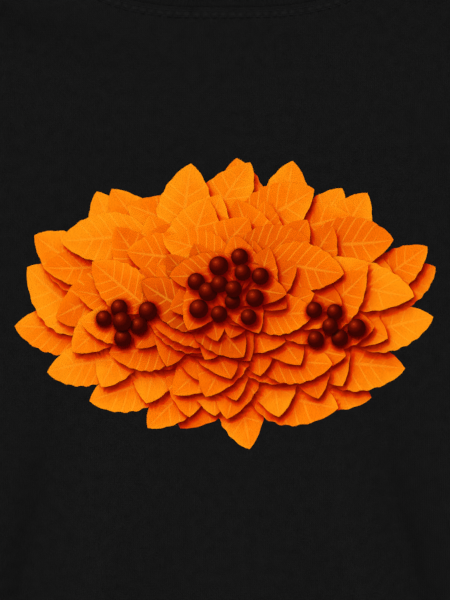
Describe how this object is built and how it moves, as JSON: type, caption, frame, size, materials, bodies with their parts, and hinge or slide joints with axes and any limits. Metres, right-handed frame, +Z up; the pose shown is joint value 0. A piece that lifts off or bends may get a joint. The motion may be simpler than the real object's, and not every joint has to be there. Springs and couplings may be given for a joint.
{
  "type": "printed crew-neck t-shirt",
  "caption": "Short-sleeved crew-neck T-shirt in black cotton jersey, laid flat with its front up, with a ribbed collar and an orange leaf print across the chest.",
  "frame": {"origin": "on the resting surface, under the middle of the garment's box", "axes": "+Z up through the front of the garment, +Y from the hem to the collar, +X to the wearer's left"},
  "size_m": [0.8216, 0.7384, 0.0127],
  "materials": {
    "jersey": "matt black cotton single jersey",
    "rib": "matt black 1x1 cotton rib",
    "tape": "black twill neck tape",
    "overlock_thread": "black overlocked seam edge",
    "topstitch_thread": "black spun polyester sewing thread",
    "print": "soft ink print in oranges"
  },
  "bodies": {
    "root": {"front_panel": "jersey", "back_panel": "jersey", "left_sleeve": "jersey", "right_sleeve": "jersey", "neck_rib": "rib", "neck_tape": "tape", "left_side_seam": "overlock_thread", "right_side_seam": "overlock_thread", "left_shoulder_seam": "overlock_thread", "right_shoulder_seam": "overlock_thread", "left_armhole_seam": "overlock_thread", "right_armhole_seam": "overlock_thread", "neck_topstitch_inner": "topstitch_thread", "neck_topstitch_outer": "topstitch_thread", "tape_topstitch_upper": "topstitch_thread", "tape_topstitch_lower": "topstitch_thread", "hem_topstitch_upper": "topstitch_thread", "hem_topstitch_lower": "topstitch_thread", "left_cuff_topstitch_upper": "topstitch_thread", "left_cuff_topstitch_lower": "topstitch_thread", "right_cuff_topstitch_upper": "topstitch_thread", "right_cuff_topstitch_lower": "topstitch_thread"}
  },
  "joints": []
}
